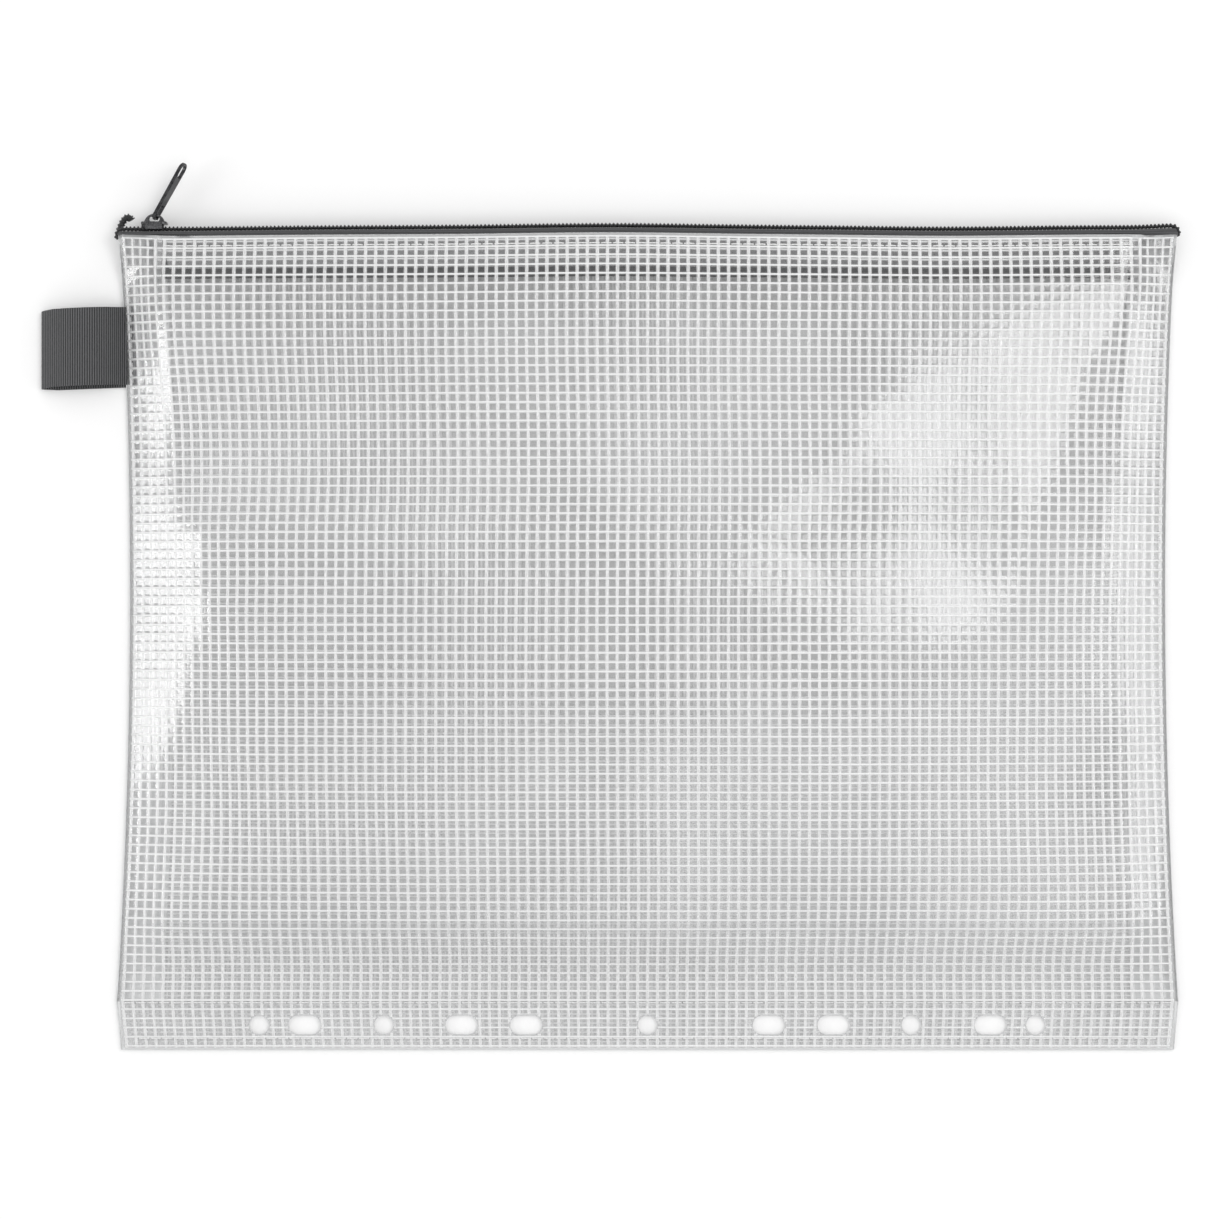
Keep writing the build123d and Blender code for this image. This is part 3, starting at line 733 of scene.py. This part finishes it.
def tapeFinish():
    made = Finish("zip_tape_weave")
    u, v = made.axes(made.place(uv="cut"))[:2]
    warp = (v * (fullTurn / zipper["warp"])).sine()
    pick = (u * (fullTurn / zipper["pick"]) + 2.2 * warp).sine()
    weave = (warp * 0.55 + pick * 0.45) * 0.5 + 0.5
    fuzz = made.noise(made.place(), 2500.0)
    shade = (weave * 0.65 + fuzz * 0.35) * (1 - 0.7 * v.bend(*zipper["inside"]))  # painted shade: the tape is darker where it runs into the pouch under the film and threads than outside
    return made.close(base=made.tint(shade, zipper["dark"], zipper["light"]), rough=0.88, sheen=0.1,
                      normal=made.bump(weave + 0.4 * fuzz, 0.00012, 0.8))


zipTapeWeave = tapeFinish()


def tapePath(lean):  # y and height off the zip's middle, from the coil to the inner edge
    middle = zipper["bend"] + zipper["thick"] / 2
    outer = zipper["out"] - zipper["thick"] / 2
    path = [(outer, zipper["split"]), (outer, zipper["flat"] * zipper["flatMiddle"])]
    for k in range(zipper["stepsBend"] + 1):
        turn = (math.pi / 2 - lean) * k / zipper["stepsBend"]
        path.append((zipper["bendY"] + middle * math.cos(turn), zipper["flat"] + middle * math.sin(turn)))
    footY, footZ = path[-1]
    foot = len(path) - 1
    for k in range(1, zipper["stepsLeg"] + 1):
        y = footY + (zipper["end"] - footY) * k / zipper["stepsLeg"]
        path.append((y, footZ + (footY - y) * math.tan(lean)))
    return np.array(path), foot


def zipTape(name, node, side, flare):
    path, foot = tapePath(math.radians(flare))
    way = heading(path)
    out = np.stack((-way[:, 1], way[:, 0]), axis=1)  # away from the bend
    run = runLengths(path)
    loop = np.concatenate((path - out * zipper["thick"] / 2, (path + out * zipper["thick"] / 2)[::-1]))
    lengths = np.concatenate((run, run[::-1]))
    corner = np.sqrt(np.maximum(zipper["round"] ** 2 - np.maximum(loop[:, 0] - zipper["bendY"], 0) ** 2, 0))
    halves = np.where(lengths > run[foot] - 0.01, zipper["legHalf"], zipper["half"] - zipper["round"] + corner)
    share = np.linspace(-1, 1, zipper["stepsX"] + 1)
    x = share[:, None] * halves[None, :]
    y = np.repeat(loop[None, :, 0], len(share), axis=0)
    squeeze = 1 - zipEnd["squeeze"] * portion(np.abs(x) - zipEnd["squeezeFrom"], zipEnd["squeezeOver"])
    z = zipper["z"] + side * squeeze * loop[None, :, 1]
    broad = portion(x - zipper["broadFrom"], zipper["broadOver"]) ** 2  # lies broader at the right end
    broad = broad * portion(zipper["out"] - y, zipper["broadDeep"])
    y = y + mouthWave(x, y) - zipper["broad"] * broad
    verts = np.stack((x, y, z), axis=2).reshape(-1, 3) * mm
    count = len(loop)
    ring = np.arange(len(share) - 1) * count
    faces = ringFaces(ring, ring + count, count)[:, [0, 3, 2, 1]].tolist()
    last = (len(share) - 1) * count
    for k in range(len(path) - 1):  # both cut ends
        faces.append((k, count - 1 - k, count - 2 - k, k + 1))
        faces.append((last + k, last + k + 1, last + count - 2 - k, last + count - 1 - k))
    tape = newPiece(name, verts, faces, zipTapeWeave)
    giveCut(tape, np.stack((x.ravel(), np.repeat(lengths[None, :], len(share), axis=0).ravel()), axis=1))
    faceOutward(tape, zipper["crease"])
    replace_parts(tape, node)


zipTape("front_tape", "front_zip_tape", 1, zipper["flare"])
zipTape("back_tape", "back_zip_tape", -1, 0.0)
print("zip tapes made")


# wound coils: meshed right of the slider, parted to its left
coil = {"pitch": 1.2, "wire": 0.22, "cord": 0.36, "tall": 0.62, "backTall": 0.3, "wide": 0.76, "middle": 0.73,
        "y": 128.05, "half": 163.65, "drop": 0.8, "corner": 2.2, "endTall": 0.46, "endWide": 0.5, "endMiddle": 1.1,
        "steps": 12, "cordStep": 6, "dark": (0.008, 0.008, 0.009), "light": (0.035, 0.035, 0.038),
        "slider": -152.0, "sliderLength": 8.0, "post": 2.0, "part": 0.8, "meshed": 0.5, "rejoin": 0.3}
# the back coil's loose end, standing up and curled over
tail = {"knots": ((-163.2, 126.4), (-162.7, 128.2), (-161.9, 129.9), (-161.0, 131.2), (-159.9, 131.4),
                  (-159.2, 130.5)), "up": (0.3, 0.2, 1.0),
        "steps": 120, "relax": 60, "low": 1.2, "wide": 0.95, "core": 0.85, "wire": 0.242, "turns": 8}


def coilShift(x):
    meshed = coil["slider"] + coil["meshed"]
    opened = coil["slider"] - coil["sliderLength"] / 2 + coil["post"]
    sewn = coil["slider"] - coil["sliderLength"] / 2 - coil["post"]
    return np.interp(x, (-coil["half"] - 1, sewn, opened, meshed),
                     (coil["part"] * coil["rejoin"], coil["part"], coil["part"], 0.0))


coilNylon = streakFinish("coil_nylon", 3500.0, coil, 0.28, 0.25, 0.00003, 0.6)


def looseEnd():  # its winding and its core, as tubes
    knots = np.array(tail["knots"])
    along = np.linspace(0, len(knots) - 1, tail["steps"])
    core = np.stack([np.interp(along, np.arange(len(knots)), knots[:, k]) for k in (0, 1)], axis=1)
    core = relax(core, tail["relax"])
    way = heading(core)
    low = zipper["z"] - tail["low"] - coil["part"] * coil["rejoin"]
    wind = np.linspace(0, fullTurn * tail["turns"], len(core))
    hook = np.stack((core[:, 0] - way[:, 1] * tail["wide"] * np.cos(wind),
                     core[:, 1] + way[:, 0] * tail["wide"] * np.cos(wind), low + tail["wide"] * np.sin(wind)), axis=1)
    core = np.column_stack((core, np.full(len(core), low)))
    ups = np.repeat([tail["up"]], len(core), axis=0)
    return [tubes([(line * mm, ups)], hexagon(r)) for line, r in ((hook, tail["wire"]), (core, tail["core"]))]


def zipCoil(name, node, side, phase):
    reach = coil["half"] - coil["corner"]
    arc = math.pi / 2 * coil["corner"]
    total = 2 * (reach + arc + coil["drop"])
    count = int(total / coil["pitch"] * coil["steps"])
    s = np.linspace(-total / 2, total / 2, count)
    end = np.sign(s)
    past = np.abs(s) - reach  # beyond the straight run
    soft = portion(past, arc)
    turn = soft * math.pi / 2
    x = end * (np.minimum(np.abs(s), reach) + coil["corner"] * np.sin(turn))
    y = coil["y"] - coil["corner"] * (1 - np.cos(turn)) - np.maximum(past - arc, 0) + zipWave(x)
    out = np.stack((end * np.sin(turn), np.cos(turn)), axis=1)
    tall = coil["tall"] if side > 0 else coil["backTall"]  # the back wire sits lower, so the front one shows as teeth
    tall = tall + (coil["endTall"] - tall) * soft
    wide = coil["wide"] + (coil["endWide"] - coil["wide"]) * soft
    middle = coil["middle"] + (coil["endMiddle"] - coil["middle"]) * soft + coilShift(x)
    spin = fullTurn * (s / coil["pitch"] + phase)
    spots = np.stack((x + out[:, 0] * tall * np.sin(spin), y + out[:, 1] * tall * np.sin(spin),
                      zipper["z"] + side * (middle - wide * np.cos(spin))), axis=1) * mm
    ups = np.stack((out[:, 0] * np.sin(spin), out[:, 1] * np.sin(spin), -side * np.cos(spin)), axis=1)
    heart = np.stack((x, y, zipper["z"] + side * middle), axis=1)[::coil["cordStep"]] * mm  # filler cord in the turns
    more = [tubes([(heart, flatUps(len(heart)))], hexagon(coil["cord"]))]
    verts, faces = tubes([(spots, ups)], hexagon(coil["wire"]))
    for moreVerts, moreFaces in more + (looseEnd() if side < 0 else []):
        verts, faces = joined(verts, faces, moreVerts, moreFaces)
    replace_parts(newPiece(name, verts, faces, coilNylon), node)


zipCoil("front_coil", "front_zip_coil", 1, 0.0)
zipCoil("back_coil", "back_zip_coil", -1, 0.5)
print("zip coils made")


# slider and pull keep their solids and get a dark metal finish
metals = {"slider_body": ("gunmetal", (0.04, 0.04, 0.042), (0.17, 0.17, 0.176), 0.16),
          "pull_tab": ("dark_pull_metal", (0.022, 0.022, 0.024), (0.1, 0.1, 0.104), 0.2)}


def metalFinish(name, dark, light, worn):
    made = Finish(name)
    spot = made.place()
    grain = made.noise(spot, 1800.0, detail=4.0, rough=0.6)
    patch = made.noise(spot, 260.0)
    shade = grain * 0.5 + patch * 0.5
    return made.close(base=made.tint(shade.bend(0.3, 0.7), dark, light), metal=1.0,
                      rough=worn + 0.25 * grain, normal=made.bump(grain, 0.00002, 0.5))


for nodeName, recipe in metals.items():
    metal = metalFinish(*recipe)
    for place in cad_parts[nodeName].material_slots:
        place.material = metal
print("slider and pull finished")


# ribbed ribbon loop on the left edge
ribbon = {"ply": 0.3, "width": 24.0, "y": 91.8, "root": -162.37, "crease": -187.43, "rise": 7.35, "low": 0.62,
          "between": 0.12, "tail": 9.5, "rib": 0.75, "ribTall": 0.07, "stepsRib": 5, "stepsY": 9, "stepsCurve": 24,
          "slew": -0.9, "slewFrom": 0.45, "slewTo": 0.6, "droop": -1.0, "droopOver": 25, "sharp": 60,
          "hingeZ": 0.78, "hingeHalf": 0.8,
          "yarn": 0.33, "ripple": 1.5, "dark": (0.008, 0.0083, 0.009), "light": (0.135, 0.137, 0.142)}


def ribbonFinish():
    made = Finish("ribbed_ribbon")
    u, v = made.axes(made.place(uv="cut"))[:2]
    cord = (u * (fullTurn / ribbon["rib"])).swell()
    yarn = (v * (fullTurn / ribbon["yarn"]) + 1.4 * (u * (fullTurn / ribbon["ripple"])).sine()).swell()
    fuzz = made.noise(made.place(), 2200.0)
    shade = (cord * 0.5 + yarn * 0.22 + fuzz * 0.28).bend(0.22, 0.8)
    return made.close(base=made.tint(shade, ribbon["dark"], ribbon["light"]), rough=0.85, sheen=0.1,
                      normal=made.bump(cord * 0.5 + yarn * 0.35 + fuzz * 0.3, 0.00010, 0.7))


def ribbonPath():
    root, crease, low = ribbon["root"], ribbon["crease"], ribbon["low"]
    high = low + ribbon["ply"] + ribbon["between"]
    sewn = root + ribbon["tail"]
    knots = [((sewn, high), (3, 0)), ((root + 0.6, high), (1.2, 0)),  # each place, and its handle
             (((root + crease) / 2 + 1.0, ribbon["rise"]), (7.2, 0)), ((crease + 0.55, low + 1.0), (0.45, 1.35)),
             ((crease + 0.9, low), (-0.7, 0)), ((root, low), (-6, 0)), ((sewn, low), (-3, 0))]
    line = bpy.data.curves.new("ribbon_line", "CURVE")
    line.dimensions = "3D"
    line.resolution_u = ribbon["stepsCurve"]
    spline = line.splines.new("BEZIER")
    spline.bezier_points.add(len(knots) - 1)
    for point, ((x, z), (hx, hz)) in zip(spline.bezier_points, knots):
        point.co = (x * mm, 0, z * mm)
        point.handle_left_type = point.handle_right_type = "FREE"
        point.handle_left = ((x + hx) * mm, 0, (z + hz) * mm)
        point.handle_right = ((x - hx) * mm, 0, (z - hz) * mm)
    drawn = bpy.data.objects.new("ribbon_line", line)
    mesh = bpy.data.meshes.new_from_object(drawn)
    spots = np.array([v.co for v in mesh.vertices]) / mm
    bpy.data.objects.remove(drawn)
    bpy.data.meshes.remove(mesh)
    return spots[:, (0, 2)]


def ribbonStrap():
    path = ribbonPath()
    run = runLengths(path)
    long = run[-1]
    s = np.linspace(0, long, int(long / ribbon["rib"] * ribbon["stepsRib"]))
    spots = np.stack((np.interp(s, run, path[:, 0]), np.interp(s, run, path[:, 1])), axis=1)
    way = unit(relax(np.gradient(spots, axis=0), 4))
    out = np.stack((way[:, 1], -way[:, 0]), axis=1)
    rib = ribbon["ribTall"] * np.sin(fullTurn * s / ribbon["rib"])
    thick = out * (ribbon["ply"] / 2 + rib)[:, None]
    slew = np.interp(s, (0, long * ribbon["slewFrom"], long * ribbon["slewTo"], long), (0, 0, 1, 1)) * ribbon["slew"]
    slew = slew + portion(ribbon["root"] - spots[:, 0], ribbon["droopOver"]) * ribbon["droop"]
    verts, places = [], []
    for shell in (spots + thick, spots - thick):
        for across in np.linspace(-0.5, 0.5, ribbon["stepsY"]) * ribbon["width"]:
            verts.append(np.stack((shell[:, 0], ribbon["y"] + across + slew, shell[:, 1]), axis=1))
            places.append(np.stack((s, 0 * s + across), axis=1))
    number = np.arange(ribbon["stepsY"] * len(s)).reshape(ribbon["stepsY"], len(s))
    shift = number.size
    first, after = number[:-1, :-1].ravel(), number[1:, :-1].ravel()
    quads = np.stack((first, first + 1, after + 1, after), axis=1)
    faces = quads.tolist() + (quads + shift)[:, ::-1].tolist()
    for line in (number[0], number[-1], number[:, 0], number[:, -1]):  # both selvedges, then both cut ends
        faces.extend((a, b, shift + b, shift + a) for a, b in zip(line, line[1:]))
    strap = newPiece("ribbon_strap", np.concatenate(verts) * mm, faces, ribbonFinish(), body=None)
    giveCut(strap, np.concatenate(places))
    faceOutward(strap, ribbon["sharp"])
    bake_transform(strap)
    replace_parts(strap, "ribbon_tail", "ribbon_loop")
    print("ribbon", round(float(long), 1), "mm long")


ribbonStrap()


# white sewing: short stitches that dip at both ends
sewing = {"stitch": 3.6, "gap": 0.5, "r": 0.21, "lift": 0.16, "dip": 0.22, "side": 2.0, "sideZ": 1.15,
          "mouth": (122.4, 148.0), "seam": (-111.2, 162.0), "edge": (-122.2, 160.0),  # a row's place, half length
          "dark": (0.66, 0.66, 0.66), "light": (0.93, 0.93, 0.93),
          "arch": ((0, 0), (0.08, 0.35), (0.3, 1), (0.7, 1), (0.92, 0.35), (1, 0))}  # along a stitch, and how high


def sewingFinish():
    made = Finish("sewing_thread")
    spot = made.place(scale=(2600, 2600, 2600))
    x, y, z = made.axes(spot)
    twist = (x * 2.2 + y * 3.4 + z).swell()
    fuzz = made.noise(spot, 1.5)
    return made.close(base=made.tint(twist * 0.6 + fuzz * 0.4, sewing["dark"], sewing["light"]), rough=0.6, sheen=0.2,
                      normal=made.bump(twist, 0.00005, 0.7))


sewingThread = sewingFinish()


def stitches(name, starts, ends, ups, node):
    runs = []
    step, bow = np.array(sewing["arch"]).T
    lift = (bow * (sewing["lift"] + sewing["dip"]) - sewing["dip"]) * mm
    for a, b, up in zip(starts, ends, ups):
        spots = a[None, :] + (b - a)[None, :] * step[:, None] + up[None, :] * lift[:, None]
        runs.append((spots, np.repeat(up[None, :], len(spots), axis=0)))
    verts, faces = tubes(runs, hexagon(sewing["r"]))
    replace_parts(newPiece(name, verts, faces, sewingThread), node)


def rowOfStitches(name, node, v, half, sides):
    count = int(2 * half / sewing["stitch"])
    lefts = (np.arange(count) - count / 2) * sewing["stitch"] + sewing["gap"] / 2
    rights = lefts + sewing["stitch"] - sewing["gap"]
    starts, ends, ups = [], [], []
    for place, height, flip in sides:
        a, n = place(lefts, v)
        b, m = place(rights, v)
        up = (n + m) / 2 * flip
        starts.extend(a + up * height * mm)
        ends.extend(b + up * height * mm)
        ups.extend(up)
    stitches(name, np.array(starts), np.array(ends), np.array(ups), node)


outFront, outBack, inBack = (frontPlace, 0.1, 1), (backPlace, -0.05, -1), (backPlace, 1.35, 1)  # height and way up
rowOfStitches("mouth_stitches_front", "front_mouth_stitching", *sewing["mouth"], [outFront])
rowOfStitches("mouth_stitches_back", "back_mouth_stitching", *sewing["mouth"], [outBack, inBack])
for word in ("seam", "edge"):
    rowOfStitches(f"strip_{word}_stitches", f"strip_{word}_stitching", *sewing[word], [outFront, outBack])


def sidePlaces(side, y):
    z = cornerLift(halfWidth(y), y, sewing["sideZ"], *zipEnd["front"])
    return np.stack((side * (halfWidth(y) - sewing["side"]), y, z), axis=1) * mm


lows = np.arange(pouch["seam"] + sewing["stitch"], pouch["fold"] - 2 * sewing["stitch"], sewing["stitch"])
highs = lows + sewing["stitch"] - sewing["gap"]
for side, word in ((-1, "left"), (1, "right")):
    stitches(word + "_seam_stitches", sidePlaces(side, lows), sidePlaces(side, highs), flatUps(len(lows)),
             word + "_seam_stitching")
print("sewing made")


# pale floor, soft light and the camera over the pouch; a lamp is its place, size and radiance
studio = {"floor": 0.88, "floorSize": 12, "floorZ": -0.0003, "lift": 0.1, "world": 1.0, "shown": 1.0,
          "key": (0.48, 0.36, 1.05, 0.54, 0.40, 4.0), "high": (0.34, 0.26, 1.75, 0.28, 0.22, 3.5),
          "low": (-1.10, -0.10, 0.40, 0.30, 0.36, 8.0), "side": (1.15, -0.05, 0.36, 0.30, 0.60, 3.5)}
view = {"place": (-0.01175, 0.01033, 1.506), "lens": 143.8, "sensor": 36.0}


def floorFinish():
    made = Finish("pale_floor")
    path = made.add("ShaderNodeLightPath").socket.node
    seen, glossy, through = [Wire(made, path.outputs["Is " + ray + " Ray"])
                             for ray in ("Camera", "Glossy", "Transmission")]
    looked = seen.larger(glossy).larger(through)
    white = made.add("ShaderNodeBsdfDiffuse", {"Color": (*[studio["floor"]] * 3, 1)})
    glow = made.add("ShaderNodeEmission", {"Color": (1, 1, 1, 1), "Strength": looked * studio["lift"]})
    return made.close(made.add("ShaderNodeAddShader", {0: white, 1: glow}))


bpy.ops.mesh.primitive_plane_add(size=studio["floorSize"], location=(0, 0, studio["floorZ"]))
floor = bpy.context.object
floor.name = "floor"
floor.data.materials.append(floorFinish())


def softbox(name, x, y, z, wide, tall, radiance):
    light = bpy.data.lights.new(name, "AREA")
    light.shape = "RECTANGLE"
    light.size, light.size_y = wide, tall
    light.energy = radiance * wide * tall * math.pi
    lamp = newObject(name, light)
    lamp.location = (x, y, z)
    lamp.rotation_euler = (-lamp.location).to_track_quat("-Z", "Y").to_euler()


for lampName in ("key", "high", "low", "side"):
    softbox(lampName + "_box", *studio[lampName])

sky = Finish("studio", world=True)
seen = sky.add("ShaderNodeLightPath", out="Is Camera Ray")
light, shown = [sky.add("ShaderNodeBackground", {"Strength": studio[key]}) for key in ("world", "shown")]
bpy.context.scene.world = sky.close(sky.mix(seen, light, shown))

lens = bpy.data.cameras.new("camera")
lens.lens = view["lens"]
lens.sensor_width = view["sensor"]
camera = newObject("camera", lens)
camera.location = view["place"]
bpy.context.scene.camera = camera
bpy.context.scene.view_settings.view_transform = "Standard"
